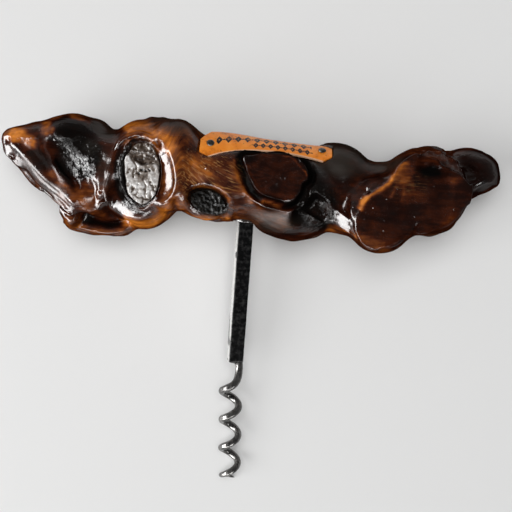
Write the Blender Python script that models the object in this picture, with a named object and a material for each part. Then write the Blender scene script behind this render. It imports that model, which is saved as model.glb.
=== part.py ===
"""A T-handled corkscrew: a polished vine-root handle, a forged iron with a wire worm, and a nailed copper plaque.

Units are metres and +Z is up. The corkscrew lies as it would on a table, z = 0. The handle runs along X and the iron
points along -Y, sloping down until its worm touches the table. The origin is in the middle of the flat that is sanded
on the root's underside, below the point where the iron's axis crosses the handle.
"""

import math

import bmesh
import bpy
import numpy as np
from mathutils import Matrix, Vector

MM = 0.001
GAP = 0.3 * MM  # clearance kept between neighbouring solids

# --- driving dimensions, in millimetres ---------------------------------------------------------------------------
IRON_X, AXIS_HEIGHT = -0.6, 22.0  # where the iron's axis crosses the handle
SHANK_SIDE = 5.5  # square bar
SHANK_TURN_DEG = -12.0  # how far the bar is turned about its own axis, so that its left side shows
SHANK_TOP, SHANK_END = -4.0, -68.0  # along the iron; the top end is buried in the wood
TANG_RADIUS, TANG_TOP = 2.3, 10.6
HEAD_RADIUS, HEAD_RISE = 3.4, 1.3  # the peened end of the tang
WASHER_RADIUS, WASHER_THICKNESS = 4.3, 1.0
WIRE_RADIUS, NECK_OFFSET = 1.5, 1.8
WORM_START, WORM_PITCH, WORM_TURNS, WORM_RADIUS = -71.0, 11.0, 3.87, 3.1  # the radius is to the wire's centre
WORM_AXIS_X, WORM_LEAN_DEG = -1.3, 3.2  # the worm is a little bent against the shank

PLAQUE_LEFT, PLAQUE_RIGHT = -17.9, 28.2
PLAQUE_WIDTH, PLAQUE_THICKNESS, PLAQUE_CORNER = 12.0, 0.7, 3.4
NAIL_INSET, NAIL_ACROSS = 3.5, -0.9  # from the plaque's end, and from its centreline
NAIL_RADIUS, NAIL_HEAD_RADIUS, NAIL_HEAD_RISE, NAIL_LENGTH = 0.65, 1.5, 0.8, 9.0

PITCH_RADIUS, PITCH_TOP, PITCH_END = 4.4, -9.5, -15.9  # the bead of black pitch round the shank's mouth


def clear_scene():
    for obj in list(bpy.data.objects):
        bpy.data.objects.remove(obj)


def material(name, colour, roughness, metallic=0.0):
    made = bpy.data.materials.new(name)
    made.use_nodes = True
    shader = made.node_tree.nodes["Principled BSDF"]
    shader.inputs["Base Color"].default_value = (*colour, 1.0)
    shader.inputs["Roughness"].default_value = roughness
    shader.inputs["Metallic"].default_value = metallic
    return made


def object_from(name, mesh, surface=None, parent=None):
    obj = bpy.data.objects.new(name, mesh)
    bpy.context.scene.collection.objects.link(obj)
    obj.parent = parent
    if surface:
        mesh.materials.append(surface)
        mesh.shade_smooth()
        mesh.set_sharp_from_angle(angle=math.radians(35))
    return obj


def mesh_from(name, bm):
    bmesh.ops.recalc_face_normals(bm, faces=bm.faces)
    if bm.calc_volume(signed=True) < 0:
        bmesh.ops.reverse_faces(bm, faces=bm.faces)
    mesh = bpy.data.meshes.new(name)
    bm.to_mesh(mesh)
    bm.free()
    return mesh


def as_cutter(obj):
    obj.hide_render = True
    obj.display_type = "WIRE"
    return obj


def cut(obj, cutter):
    boolean = obj.modifiers.new("cut_" + cutter.name, "BOOLEAN")
    boolean.operation = "DIFFERENCE"
    boolean.object = cutter


def rings_to_mesh(name, rings):
    """A closed tube through equal rings of points, with a flat cap at each end."""
    bm = bmesh.new()
    rows = [[bm.verts.new(point) for point in ring] for ring in rings]
    count = len(rows[0])
    for low, high in zip(rows, rows[1:]):
        for i in range(count):
            j = (i + 1) % count
            bm.faces.new((low[i], low[j], high[j], high[i]))
    bm.faces.new(rows[0])
    bm.faces.new(rows[-1])
    return mesh_from(name, bm)


# --- the root -----------------------------------------------------------------------------------------------------
# Each knuckle is an ellipsoid: centre, radii, and its turn about Z in degrees.
KNUCKLES = {
    "left_crown": ((-65, 7, 21), (13, 11, 13), 14),
    "crown_end": ((-57, 11, 19), (6, 6.6, 9), 0),
    "left_hollow_floor": ((-58, -3, 19), (14, 15, 13), 0),
    "left_cheek": ((-75.5, -2.6, 19), (10.5, 6.6, 8.5), -42),
    "knot_swelling": ((-38, -1.4, 19), (14.5, 20, 20), 6),
    "shoulder": ((-28, 3.5, 20), (15, 15, 17), -6),
    "small_knot_swelling": ((-15, -6.5, 25), (13.5, 10, 12.5), -6),
    "middle": ((-7, -1, 18.7), (28, 15.2, 20.9), -3),
    "belly": ((16, -5, 19.2), (20, 16.4, 20), 2),
    "hump": ((31, 4.2, 19), (13, 11, 14.5), -8),
    "lower_lobe": ((46.5, -9.8, 25), (12.5, 14, 24), 16),
    "upper_lobe": ((62, -0.5, 24), (16, 16, 24.8), -18),
    "brow": ((64, 9, 19), (9.5, 8, 12), 10),
    "right_nub": ((79.5, 7.6, 17), (11.5, 9.6, 10), -14),
}
# Each limb tapers from one ball to another: centre and radius, twice.
LIMBS = {
    "left_point": ((-86.6, 7.6, 21), 4.1, (-70, 6.5, 21), 9.5),
    "left_ridge": ((-86, 3.6, 22), 3.4, (-59, -11, 25), 8.0),
    "left_lip": ((-62, -19.2, 17), 5.0, (-46, -17.5, 15), 7.0),
    "waist": ((-60, -1, 20), 14.5, (-38, -1, 20), 14.5),
    "sawn_stub": ((7, -3, 20), 12.0, (9.6, -1.2, 40), 10.0),
    "bridge": ((34, -4.5, 18.5), 13.6, (54, -3.5, 20), 13.5),
    "lobe_shelf": ((47, -10.5, 31), 10.5, (63, -1.5, 31), 13.0),
    "knot_lip": ((-26.5, 8.0, 30.5), 9.3, (-27, -6, 30.5), 9.3),
}
ROOT_VOXEL, ROOT_SMOOTHING, ROOT_KEEP = 1.1, 6, 0.085

# Planes left by the saw, each a point and its outward normal.
SAWN_FACES = {
    "stub_face": ((9.4, -0.6, 40.4), (0.16, -0.05, 1.0)),
    "lobe_face": ((58, -5, 36.4), (0.10, -0.10, 1.0)),
    "underside": ((0, 0, 0), (0, 0, -1.0)),
}
# Hollows round dead branches, and the scoop in the left end: centre, radii, turn about Z.
KNOT_HOLE = ((-37.2, -2.2, 41), (7.7, 13.0, 10.5), 4)
SMALL_KNOT_HOLE = ((-13.7, -10.4, 37.0), (7.6, 4.9, 7.0), -16)
HOLLOW = ((-66, 2, 42), (17, 9, 11), -38)


def ellipsoid_into(bm, centre, radii, turn_deg, segments=32):
    place = (
        Matrix.Translation(Vector(centre) * MM)
        @ Matrix.Rotation(math.radians(turn_deg), 4, "Z")
        @ Matrix.Diagonal((*(Vector(radii) * MM), 1.0))
    )
    bmesh.ops.create_uvsphere(bm, u_segments=segments, v_segments=segments // 2, radius=1.0, matrix=place)


def ellipsoid(name, centre, radii, turn_deg, segments=32):
    bm = bmesh.new()
    ellipsoid_into(bm, centre, radii, turn_deg, segments)
    return mesh_from(name, bm)


def limb_into(bm, start, start_radius, end, end_radius):
    ends = bmesh.new()
    ellipsoid_into(ends, start, (start_radius,) * 3, 0, 20)
    ellipsoid_into(ends, end, (end_radius,) * 3, 0, 20)
    hull = bmesh.ops.convex_hull(ends, input=ends.verts)
    inside = [v for v in hull["geom_interior"] if isinstance(v, bmesh.types.BMVert)]
    bmesh.ops.delete(ends, geom=inside, context="VERTS")
    limb = mesh_from("limb", ends)
    bm.from_mesh(limb)
    bpy.data.meshes.remove(limb)


def saw_block(name, point, normal):
    """A block whose near face is the plane of a saw cut."""
    bm = bmesh.new()
    bmesh.ops.create_cube(bm, size=1.0)
    bmesh.ops.translate(bm, verts=bm.verts, vec=(0, 0, 0.5))
    bmesh.ops.scale(bm, verts=bm.verts, vec=Vector((SAW_REACH[name], SAW_REACH[name], 20)) * MM)
    turn = Vector((0, 0, 1)).rotation_difference(Vector(normal)).to_matrix().to_4x4()
    bmesh.ops.transform(bm, matrix=Matrix.Translation(Vector(point) * MM) @ turn, verts=bm.verts)
    return as_cutter(object_from("saw_" + name, mesh_from("saw_" + name, bm)))


SAW_REACH = {"stub_face": 30, "lobe_face": 70, "underside": 220}  # how wide each block is


def build_root(surface):
    bm = bmesh.new()
    for centre, radii, turn in KNUCKLES.values():
        ellipsoid_into(bm, centre, radii, turn)
    for limb in LIMBS.values():
        limb_into(bm, *limb)
    root = object_from("vine_root_handle", mesh_from("vine_root_handle", bm), surface)
    merge = root.modifiers.new("merge_knuckles", "REMESH")
    merge.mode = "VOXEL"
    merge.voxel_size = ROOT_VOXEL * MM
    merge.use_smooth_shade = True
    smooth = root.modifiers.new("soften", "SMOOTH")
    smooth.factor, smooth.iterations = 0.5, ROOT_SMOOTHING
    thin = root.modifiers.new("fewer_faces", "DECIMATE")
    thin.ratio = ROOT_KEEP
    for name, (point, normal) in SAWN_FACES.items():
        cut(root, saw_block(name, point, normal))
    for name, hole in (("knot_hole", KNOT_HOLE), ("small_knot_hole", SMALL_KNOT_HOLE), ("hollow", HOLLOW)):
        cut(root, as_cutter(object_from(name, ellipsoid(name, *hole))))
    return root


# --- the iron -----------------------------------------------------------------------------------------------------
# In the iron's own frame the worm points along -Y, +X is to the right and +Z is up off the table.
RING_POINTS = 12


def ring(centre, across, up, half, squareness):
    """A closed section: a circle at squareness 0, and nearly a square of that half width at 1."""
    points = []
    power = 2.0 / (2.0 + 10.0 * squareness)
    for i in range(RING_POINTS):
        angle = 2 * math.pi * (i + 0.5) / RING_POINTS
        c, s = math.cos(angle), math.sin(angle)
        x = math.copysign(abs(c) ** power, c)
        z = math.copysign(abs(s) ** power, s)
        points.append((Vector(centre) + Vector(across) * (x * half) + Vector(up) * (z * half)) * MM)
    return points


def turned_axes():
    turn = math.radians(SHANK_TURN_DEG)
    return Vector((math.cos(turn), 0, math.sin(turn))), Vector((-math.sin(turn), 0, math.cos(turn)))


def head_rings():
    """The peened dome, from its pole down to where it meets the tang."""
    across, up = turned_axes()
    rings = []
    for angle in np.radians([12, 35, 60, 90]):
        rise = HEAD_RISE * math.cos(angle)
        rings.append(ring((0, TANG_TOP + rise, 0), across, up, HEAD_RADIUS * math.sin(angle), 0))
    return rings


def shank_rings():
    across, up = turned_axes()
    half = SHANK_SIDE / 2
    plan = [
        (TANG_TOP - 0.01, TANG_RADIUS, 0),
        (SHANK_TOP + 0.01, TANG_RADIUS, 0),
        (SHANK_TOP, half - 0.25, 1),
        (SHANK_TOP - 0.3, half, 1),
        (SHANK_END + 0.3, half, 1),
        (SHANK_END, half - 0.25, 1),
    ]
    return [ring((0, y, 0), across, up, size, square) for y, size, square in plan]


def worm_centreline(steps_per_turn=18):
    """Points down the wire: a right-handed helix that starts straight below the neck and closes up at the tip."""
    count = int(WORM_TURNS * steps_per_turn)
    turns = np.linspace(0, WORM_TURNS, count + 1)
    rate = WORM_PITCH * (1 + 3 * np.clip(1 - turns / 0.2, 0, 1))
    rate *= np.clip((WORM_TURNS - turns) / 0.5, 0.1, 1)
    travel = np.concatenate([[0], np.cumsum((rate[1:] + rate[:-1]) / 2 * np.diff(turns))])
    lean = math.radians(WORM_LEAN_DEG)
    angle = 2 * math.pi * turns
    x = WORM_AXIS_X + WORM_RADIUS * np.cos(angle) + travel * math.sin(lean)
    y = WORM_START - travel * math.cos(lean)
    z = WORM_RADIUS * np.sin(angle)
    return np.stack([x, y, z], axis=1)


def worm_rings():
    """Wire sections from the neck to the point, each square to the path and turned as little as possible."""
    neck = [
        (NECK_OFFSET - 0.9, SHANK_END - 0.05, 0),
        (NECK_OFFSET - 0.3, SHANK_END - 0.8, 0),
        (NECK_OFFSET, SHANK_END - 1.8, 0),
    ]
    path = [Vector(p) for p in neck] + [Vector(p) for p in worm_centreline()]
    across = Vector((1, 0, 0))
    rings = []
    for i, point in enumerate(path):
        tangent = (path[min(i + 1, len(path) - 1)] - path[max(i - 1, 0)]).normalized()
        across = (across - tangent * across.dot(tangent)).normalized()
        share = i / (len(path) - 1)
        taper = min(1.0, ((1 - share) / 0.22) ** 0.6 + 0.16)
        size = WIRE_RADIUS * (1 - 0.12 * share) * taper
        rings.append(ring(point, across, tangent.cross(across), size, 0))
    return rings


def iron_slope(rings):
    """The slope about X that just brings the underside of the worm down to the table."""
    points = [point for points in rings for point in points]
    low, high = 0.0, math.pi / 6
    for _ in range(40):
        slope = (low + high) / 2
        lowest = min(p.y * math.sin(slope) + p.z * math.cos(slope) for p in points)
        if lowest + AXIS_HEIGHT * MM > 0:
            low = slope
        else:
            high = slope
    return low


def iron_frame():
    frame = bpy.data.objects.new("iron_frame", None)
    frame.location = (IRON_X * MM, 0, AXIS_HEIGHT * MM)
    frame.rotation_euler = (iron_slope(worm_rings()), 0, 0)
    bpy.context.scene.collection.objects.link(frame)
    return frame


def build_iron(surface, frame):
    rings = head_rings() + shank_rings() + worm_rings()
    return object_from("corkscrew_iron", rings_to_mesh("corkscrew_iron", rings), surface, frame)


def tube_mesh(name, outer, inner, top, end, segments=32):
    """A washer or sleeve along the iron's axis, or a plain rod where inner is 0."""
    bm = bmesh.new()
    if inner:
        profile = [(inner, top), (outer, top), (outer, end), (inner, end)]
        verts = [bm.verts.new((x * MM, y * MM, 0)) for x, y in profile]
        edges = [bm.edges.new((verts[i], verts[(i + 1) % 4])) for i in range(4)]
        bmesh.ops.spin(bm, geom=verts + edges, axis=(0, 1, 0), cent=(0, 0, 0), angle=2 * math.pi, steps=segments)
        bmesh.ops.remove_doubles(bm, verts=bm.verts, dist=1e-6)
    else:
        turn = Matrix.Translation((0, (top + end) / 2 * MM, 0)) @ Matrix.Rotation(math.pi / 2, 4, "X")
        bmesh.ops.create_cone(
            bm,
            cap_ends=True,
            segments=segments,
            radius1=outer * MM,
            radius2=outer * MM,
            depth=(top - end) * MM,
            matrix=turn,
        )
    return mesh_from(name, bm)


def square_seat_mesh(name, half, top, end):
    across, up = turned_axes()
    return rings_to_mesh(name, [ring((0, y, 0), across, up, half, 1) for y in (top, end)])


def bore_root(root, frame):
    gap = GAP / MM
    seats = {
        "tang_bore": tube_mesh("tang_bore", TANG_RADIUS + gap, 0, 20, SHANK_TOP - 1),
        "shank_seat": square_seat_mesh("shank_seat", SHANK_SIDE / 2 + gap, SHANK_TOP + gap, -30),
        "pitch_pocket": tube_mesh("pitch_pocket", PITCH_RADIUS + gap, 0, PITCH_TOP + gap, -30),
        "head_pocket": tube_mesh(
            "head_pocket", WASHER_RADIUS + gap, 0, 30, TANG_TOP - WASHER_THICKNESS - gap
        ),
    }
    for name, mesh in seats.items():
        cut(root, as_cutter(object_from(name, mesh, parent=frame)))


def build_washer(surface, frame):
    gap = GAP / MM
    top = TANG_TOP - gap
    mesh = tube_mesh("rivet_washer", WASHER_RADIUS, TANG_RADIUS + gap, top, top - WASHER_THICKNESS + gap)
    return object_from("rivet_washer", mesh, surface, frame)


def build_pitch(surface, frame):
    """Pitch set round the shank's mouth, cut through by the square bar."""
    pitch = object_from("pitch_bead", tube_mesh("pitch_bead", PITCH_RADIUS, 0, PITCH_TOP, PITCH_END), surface, frame)
    opening = square_seat_mesh("pitch_opening", SHANK_SIDE / 2 + GAP / MM, PITCH_TOP + 5, PITCH_END - 5)
    cut(pitch, as_cutter(object_from("pitch_opening", opening, parent=frame)))
    return pitch


# --- the plaque ---------------------------------------------------------------------------------------------------
# Along X the plaque follows the root round its upper front edge. Left end, middle and right end in turn:
PLAQUE_STATIONS = {
    "facing_deg": (31, 64, 53),  # the way its centreline faces, from +Z towards +Y
    "radius": (16.5, 14.1, 13.6),  # how it bends across its width
    "axis_y": (0.2, -0.5, -1.0),
    "axis_z": (20.5, 20.5, 20.5),
}


def along_plaque(name, share):
    """The quadratic through a quantity's values at the left end, the middle and the right end."""
    left, middle, right = PLAQUE_STATIONS[name]
    return left * (1 - share) * (1 - 2 * share) + middle * 4 * share * (1 - share) + right * share * (2 * share - 1)


def plaque_point(x, across, lift):
    """A point at x along the plaque, so far across it from its centreline, lifted off its underside."""
    share = (x - PLAQUE_LEFT) / (PLAQUE_RIGHT - PLAQUE_LEFT)
    radius = along_plaque("radius", share)
    angle = math.radians(along_plaque("facing_deg", share)) + across / radius
    y = along_plaque("axis_y", share) + (radius + lift) * math.sin(angle)
    z = along_plaque("axis_z", share) + (radius + lift) * math.cos(angle)
    return Vector((x, y, z)) * MM


def plaque_half_width(x, extra=0.0):
    """Half the plaque's width at x, narrowing to its clipped corners."""
    from_end = min(x - PLAQUE_LEFT, PLAQUE_RIGHT - x)
    return PLAQUE_WIDTH / 2 - max(0.0, PLAQUE_CORNER - from_end) + extra


def plaque_mesh(name, low, high, grow=0.0, along=26, across=8):
    """The plaque between two heights above its underside, wider by grow all round."""
    bm = bmesh.new()
    left, right = PLAQUE_LEFT, PLAQUE_RIGHT
    inner = np.linspace(left + PLAQUE_CORNER, right - PLAQUE_CORNER, along)
    stations = [left, left + PLAQUE_CORNER / 2, *inner, right - PLAQUE_CORNER / 2, right]
    rings = []
    for x in stations:
        half = plaque_half_width(x, grow)
        reach = x + (grow if x == right else -grow if x == left else 0.0)
        under = [plaque_point(reach, half * t, low) for t in np.linspace(-1, 1, across)]
        over = [plaque_point(reach, half * t, high) for t in np.linspace(1, -1, across)]
        rings.append(under + over)
    rows = [[bm.verts.new(point) for point in points] for points in rings]
    count = len(rows[0])
    for near, far in zip(rows, rows[1:]):
        for i in range(count):
            j = (i + 1) % count
            bm.faces.new((near[i], near[j], far[j], far[i]))
    for row in (rows[0], rows[-1]):
        for i in range(across - 1):
            bm.faces.new((row[i], row[i + 1], row[count - 2 - i], row[count - 1 - i]))
    return mesh_from(name, bm)


def nail_place(x):
    """Where a nail goes: on the plaque's top face at x, with local +Z out of the plaque."""
    foot = plaque_point(x, NAIL_ACROSS, PLAQUE_THICKNESS)
    outward = (plaque_point(x, NAIL_ACROSS, PLAQUE_THICKNESS + 1) - foot).normalized()
    return Matrix.Translation(foot) @ outward.to_track_quat("Z", "Y").to_matrix().to_4x4()


def turned_mesh(name, profile, segments=20):
    """A solid of revolution about Z from (radius, height) points in millimetres, with a pole at each end."""
    bm = bmesh.new()
    verts = [bm.verts.new((radius * MM, 0, height * MM)) for radius, height in profile]
    edges = [bm.edges.new(pair) for pair in zip(verts, verts[1:])]
    bmesh.ops.spin(bm, geom=verts + edges, axis=(0, 0, 1), cent=(0, 0, 0), angle=2 * math.pi, steps=segments)
    bmesh.ops.remove_doubles(bm, verts=bm.verts, dist=1e-6)
    return mesh_from(name, bm)


def nail_profile(radius, head_radius, head_rise, length, low):
    head = [
        (head_radius * math.sin(a), low + head_rise * math.cos(a)) for a in np.radians([0, 25, 50, 72, 90])
    ]
    point = [(radius, low), (radius, 1.5 - length), (0, -length)]
    return [(max(0.0, r), h) for r, h in head + point]


def build_plaque(root, copper, steel):
    gap = GAP / MM
    plaque = object_from("name_plaque", plaque_mesh("name_plaque", 0, PLAQUE_THICKNESS), copper)
    seat = plaque_mesh("plaque_seat", -gap, 9, grow=gap)
    cut(root, as_cutter(object_from("plaque_seat", seat)))
    nails = {"plaque_nail_left": PLAQUE_LEFT + NAIL_INSET, "plaque_nail_right": PLAQUE_RIGHT - NAIL_INSET}
    for name, x in nails.items():
        profile = nail_profile(NAIL_RADIUS, NAIL_HEAD_RADIUS, NAIL_HEAD_RISE, NAIL_LENGTH, gap)
        nail = object_from(name, turned_mesh(name, profile), steel)
        nail.matrix_world = nail_place(x)
        hole_profile = [
            (0, 5),
            (NAIL_RADIUS + gap, 5),
            (NAIL_RADIUS + gap, 1.5 - NAIL_LENGTH - gap),
            (0, -NAIL_LENGTH - 2 * gap),
        ]
        hole = as_cutter(object_from(name + "_hole", turned_mesh(name + "_hole", hole_profile)))
        hole.matrix_world = nail_place(x)
        cut(root, hole)
        cut(plaque, hole)
    return plaque


# --- dead wood in the knot holes ----------------------------------------------------------------------------------
def build_dead_branch(name, hole, surface, top):
    """A dead branch's stub, standing loose in its hole and ending below the rim."""
    centre, radii, turn = hole
    floor = centre[2] - radii[2]
    turn_matrix = Matrix.Rotation(math.radians(turn), 3, "Z")
    rings = []
    for height, size in zip(np.linspace(floor + 1.0, top, 5), (0.36, 0.57, 0.70, 0.79, 0.84)):
        points = []
        for i in range(24):
            angle = 2 * math.pi * i / 24
            reach = size * (1 + 0.03 * math.sin(3 * angle + height) + 0.02 * math.sin(7 * angle))
            local = Vector((radii[0] * reach * math.cos(angle), radii[1] * reach * math.sin(angle), 0))
            points.append((turn_matrix @ local + Vector((centre[0], centre[1], height))) * MM)
        rings.append(points)
    return object_from(name, rings_to_mesh(name, rings), surface)


clear_scene()
wood = material("varnished_wood", (0.20, 0.075, 0.022), 0.25)
grey_wood = material("dead_wood", (0.33, 0.29, 0.24), 0.8)
black_wood = material("charred_wood", (0.03, 0.024, 0.02), 0.4)
iron = material("blackened_iron", (0.06, 0.06, 0.06), 0.4, 0.8)
zinc = material("grey_steel", (0.30, 0.30, 0.28), 0.4, 1.0)
copper = material("copper", (0.80, 0.36, 0.13), 0.4, 1.0)
pitch = material("pitch", (0.02, 0.014, 0.01), 0.35)

root = build_root(wood)
frame = iron_frame()
bore_root(root, frame)
build_iron(iron, frame)
build_washer(zinc, frame)
build_pitch(pitch, frame)
build_plaque(root, copper, zinc)
build_dead_branch("dead_branch_stub", KNOT_HOLE, grey_wood, top=36.5)
build_dead_branch("small_dead_knot", SMALL_KNOT_HOLE, black_wood, top=35.0)
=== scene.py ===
"""The looks of the root-handled corkscrew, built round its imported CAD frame.

Lengths are in millimetres while shapes are worked out, and become metres when a mesh is made. The corkscrew
lies on the table, z = 0, with its handle along X and its worm towards -Y. The camera looks straight down, so
a feature of the upper side is placed by where it is seen: (u, v) is where the camera's ray meets the plane
z = SEEN_HEIGHT.
"""

import math

import bmesh
import bpy
import numpy as np
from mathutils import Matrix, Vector
from mathutils.bvhtree import BVHTree


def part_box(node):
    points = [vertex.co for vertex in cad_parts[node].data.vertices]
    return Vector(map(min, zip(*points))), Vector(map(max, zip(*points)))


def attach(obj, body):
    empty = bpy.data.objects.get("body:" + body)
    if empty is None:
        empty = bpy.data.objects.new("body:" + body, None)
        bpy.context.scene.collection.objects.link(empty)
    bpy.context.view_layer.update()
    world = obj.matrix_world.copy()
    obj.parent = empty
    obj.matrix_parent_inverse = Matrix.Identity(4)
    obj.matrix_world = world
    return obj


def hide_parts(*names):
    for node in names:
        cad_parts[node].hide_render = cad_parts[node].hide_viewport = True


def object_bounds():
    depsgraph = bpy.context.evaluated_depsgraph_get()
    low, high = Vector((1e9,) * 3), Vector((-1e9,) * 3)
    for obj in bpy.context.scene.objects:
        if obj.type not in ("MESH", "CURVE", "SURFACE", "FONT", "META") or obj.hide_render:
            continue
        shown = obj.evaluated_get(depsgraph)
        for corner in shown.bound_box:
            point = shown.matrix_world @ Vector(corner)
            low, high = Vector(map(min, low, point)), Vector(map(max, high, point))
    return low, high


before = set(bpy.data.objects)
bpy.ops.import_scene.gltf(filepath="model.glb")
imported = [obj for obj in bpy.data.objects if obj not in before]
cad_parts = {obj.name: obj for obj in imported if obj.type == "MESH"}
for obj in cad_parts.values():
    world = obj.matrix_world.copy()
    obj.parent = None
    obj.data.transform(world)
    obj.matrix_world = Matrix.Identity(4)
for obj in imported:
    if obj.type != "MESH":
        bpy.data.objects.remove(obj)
CAD_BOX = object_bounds()

MM = 0.001

# --- camera and room ---
EYE = (4.27, -27.88, 380.0)  # the camera's place, in millimetres
CAMERA_ROLL_DEG = 4.3
CAMERA_LENS, SENSOR = 70.2, 36.0
TABLE_SIZE = 6.0  # metres
SEEN_HEIGHT = 20.0  # the plane that (u, v) are measured on


# --- numbers ---
def ease(low, high, x):
    """0 at low and 1 at high, which may lie either way round, with soft ends."""
    t = np.clip((x - low) / (high - low), 0.0, 1.0)
    return t * t * (3 - 2 * t)


def lattice(i, j, k, seed):
    """A repeatable random number in 0..1 for each whole-number corner."""
    n = (i * 374761393 + j * 668265263 + k * 1442695041 + seed * 1274126177) & 0xFFFFFFFF
    n = ((n ^ (n >> 13)) * 1274126177) & 0xFFFFFFFF
    return ((n ^ (n >> 16)) & 0xFFFF) / 65535.0


def noise(points, size, seed=0):
    """Smooth value noise in -1..1 with lumps about so many millimetres across; size may be one per axis."""
    q = points / np.asarray(size, float)
    cell = np.floor(q).astype(np.int64)
    f = q - cell
    f = f * f * (3 - 2 * f)
    total = np.zeros(len(points))
    for dx, dy, dz in np.ndindex(2, 2, 2):
        weight = np.abs(1 - dx - f[:, 0]) * np.abs(1 - dy - f[:, 1]) * np.abs(1 - dz - f[:, 2])
        total += weight * lattice(cell[:, 0] + dx, cell[:, 1] + dy, cell[:, 2] + dz, seed)
    return 2 * total - 1


def layered(points, size, octaves, seed=0, gain=0.55):
    """Noise added up over octaves, each half the size of the last."""
    total = np.zeros(len(points))
    for octave in range(octaves):
        total += gain**octave * noise(points, np.asarray(size, float) / 2**octave, seed + octave)
    return total


def seen(points):
    """(u, v): where the camera sees a point, as a place on the plane at SEEN_HEIGHT."""
    scale = (EYE[2] - SEEN_HEIGHT) / (EYE[2] - points[:, 2])
    return EYE[:2] + (points[:, :2] - EYE[:2]) * scale[:, None]


def oval(uv, centre, radii, turn_deg=0.0):
    """Distance from an ellipse's centre with 1 at its edge, and the angle round it."""
    a = math.radians(turn_deg)
    d = uv - np.asarray(centre)
    along = d[:, 0] * math.cos(a) + d[:, 1] * math.sin(a)
    across = -d[:, 0] * math.sin(a) + d[:, 1] * math.cos(a)
    return np.hypot(along / radii[0], across / radii[1]), np.arctan2(across / radii[1], along / radii[0])


def curved(path):
    """A smooth curve through the path's points, closed if the path ends where it starts."""
    path = np.asarray(path, float)
    closed = np.allclose(path[0], path[-1])
    before = path[-2] if closed else 2 * path[0] - path[1]
    after = path[1] if closed else 2 * path[-1] - path[-2]
    knots = np.vstack([before, path, after])
    t = np.arange(4)[:, None] / 4
    spans = [
        b + 0.5 * t * (c - a + t * (2 * a - 5 * b + 4 * c - d + t * (3 * b - a - 3 * c + d)))
        for a, b, c, d in zip(knots, knots[1:], knots[2:], knots[3:])
    ]
    return np.vstack([*spans, path[-1:]])


def along_path(uv, path):
    """Each point's distance to the curve, + on its left, and how far along its nearest place is, 0 to 1."""
    path = curved(path)
    steps = np.diff(path, axis=0)
    lengths = np.hypot(*steps.T)
    starts = np.concatenate([[0], np.cumsum(lengths)])
    best = np.full(len(uv), 1e9)
    signed = np.full(len(uv), 1e9)
    share = np.zeros(len(uv))
    for start, step, length, before in zip(path, steps, lengths, starts):
        d = uv - start
        t = np.clip((d @ step) / length**2, 0, 1)
        away = np.hypot(*(d - t[:, None] * step).T)
        side = np.sign(step[0] * d[:, 1] - step[1] * d[:, 0])
        closer = away < best
        best = np.where(closer, away, best)
        signed = np.where(closer, away * side, signed)
        share = np.where(closer, (before + t * length) / starts[-1], share)
    return signed, share


def stroke(uv, path, width, fade=0.12):
    """1 on the path, falling smoothly to 0 over width to either side and at its ends."""
    signed, share = along_path(uv, path)
    ends = ease(0, fade, share) * ease(0, fade, 1 - share)
    return np.exp(-((signed / width) ** 2)) * ends


def inside(uv, path, soft=0.5):
    """1 inside a closed path that runs clockwise, 0 outside."""
    return ease(soft, -soft, along_path(uv, path)[0])


def spot(uv, x, y, rx, ry, turn=0.0):
    """1 in the middle of an oval spot, 0 outside it."""
    r, _ = oval(uv, (x, y), (rx, ry), turn)
    return ease(1.0, 0.35, r)


def dot(uv, centre, width):
    """1 at a point, falling smoothly to 0 over width all round it."""
    return np.exp(-((np.hypot(uv[:, 0] - centre[0], uv[:, 1] - centre[1]) / width) ** 2))


# --- meshes ---
def points_of(mesh):
    flat = np.empty(len(mesh.vertices) * 3)
    mesh.vertices.foreach_get("co", flat)
    return flat.reshape(-1, 3) / MM


def set_points(mesh, points):
    mesh.vertices.foreach_set("co", (points * MM).astype(np.float32).ravel())
    mesh.update()


def normals_at(mesh, points):
    """The mesh's normals once its vertices are at the points."""
    set_points(mesh, points)
    flat = np.empty(len(mesh.vertices) * 3, np.float32)
    mesh.vertex_normals.foreach_get("vector", flat)
    return flat.reshape(-1, 3).astype(float)


def set_attribute(mesh, name, values):
    kind = "FLOAT" if values.ndim == 1 else "FLOAT_VECTOR"
    attribute = mesh.attributes.new(name, kind, "POINT")
    attribute.data.foreach_set("value" if values.ndim == 1 else "vector", values.astype(np.float32).ravel())


def show(name, mesh, surface, node):
    """Puts a finished mesh in the scene in place of a CAD node."""
    obj = bpy.data.objects.new(name, mesh)
    bpy.context.scene.collection.objects.link(obj)
    mesh.materials.clear()
    mesh.materials.append(surface)
    mesh.shade_smooth()
    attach(obj, "root")
    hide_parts(node)


def largest_body(mesh):
    """Drops every loose scrap that remeshing leaves, and keeps the one large body."""
    bm = bmesh.new()
    bm.from_mesh(mesh)
    left = set(bm.verts)
    bodies = []
    while left:
        front = {left.pop()}
        body = set()
        while front:
            body |= front
            front = {edge.other_vert(vert) for vert in front for edge in vert.link_edges} & left
            left -= front
        bodies.append(body)
    bodies.remove(max(bodies, key=len))
    bmesh.ops.delete(bm, geom=[vert for body in bodies for vert in body], context="VERTS")
    bm.to_mesh(mesh)
    bm.free()


def remeshed(node, voxel):
    """A fine, even copy of a CAD node."""
    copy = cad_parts[node].copy()
    copy.data = copy.data.copy()
    bpy.context.scene.collection.objects.link(copy)
    even = copy.modifiers.new("even", "REMESH")
    even.mode = "VOXEL"
    even.voxel_size = voxel * MM
    bpy.context.view_layer.update()
    mesh = bpy.data.meshes.new_from_object(copy.evaluated_get(bpy.context.evaluated_depsgraph_get()))
    mesh.name = node + "_fine"
    bpy.data.objects.remove(copy)
    largest_body(mesh)
    return mesh


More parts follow.
